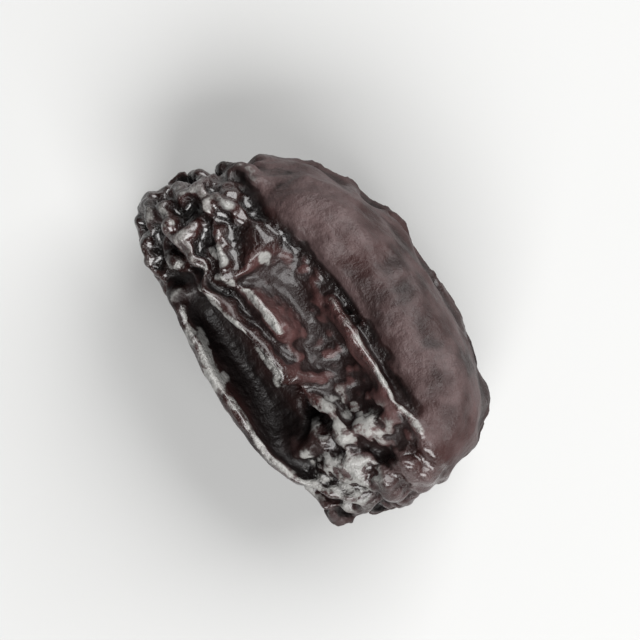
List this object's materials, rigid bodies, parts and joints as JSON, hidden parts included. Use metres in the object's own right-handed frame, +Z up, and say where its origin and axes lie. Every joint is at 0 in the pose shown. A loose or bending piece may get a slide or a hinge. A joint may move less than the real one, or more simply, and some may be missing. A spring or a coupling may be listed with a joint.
{
  "type": "dried cherry",
  "caption": "Pitted sweet cherry dried to a dark, leathery, deeply folded oval, with a plump roll along one side and a puckered stem end.",
  "frame": {"origin": "on the table, under the middle of the fruit's bounding box", "axes": "+X along the stem axis from the stem end to the blossom end, +Y towards the plump roll, +Z up as the fruit lies"},
  "size_m": [0.019, 0.012, 0.0102],
  "materials": {
    "skin": "near-black red-brown dried fruit skin, tacky and glossy on the folds, greyer and duller on the plump roll"
  },
  "bodies": {
    "root": {"cherry": "skin"}
  },
  "joints": []
}
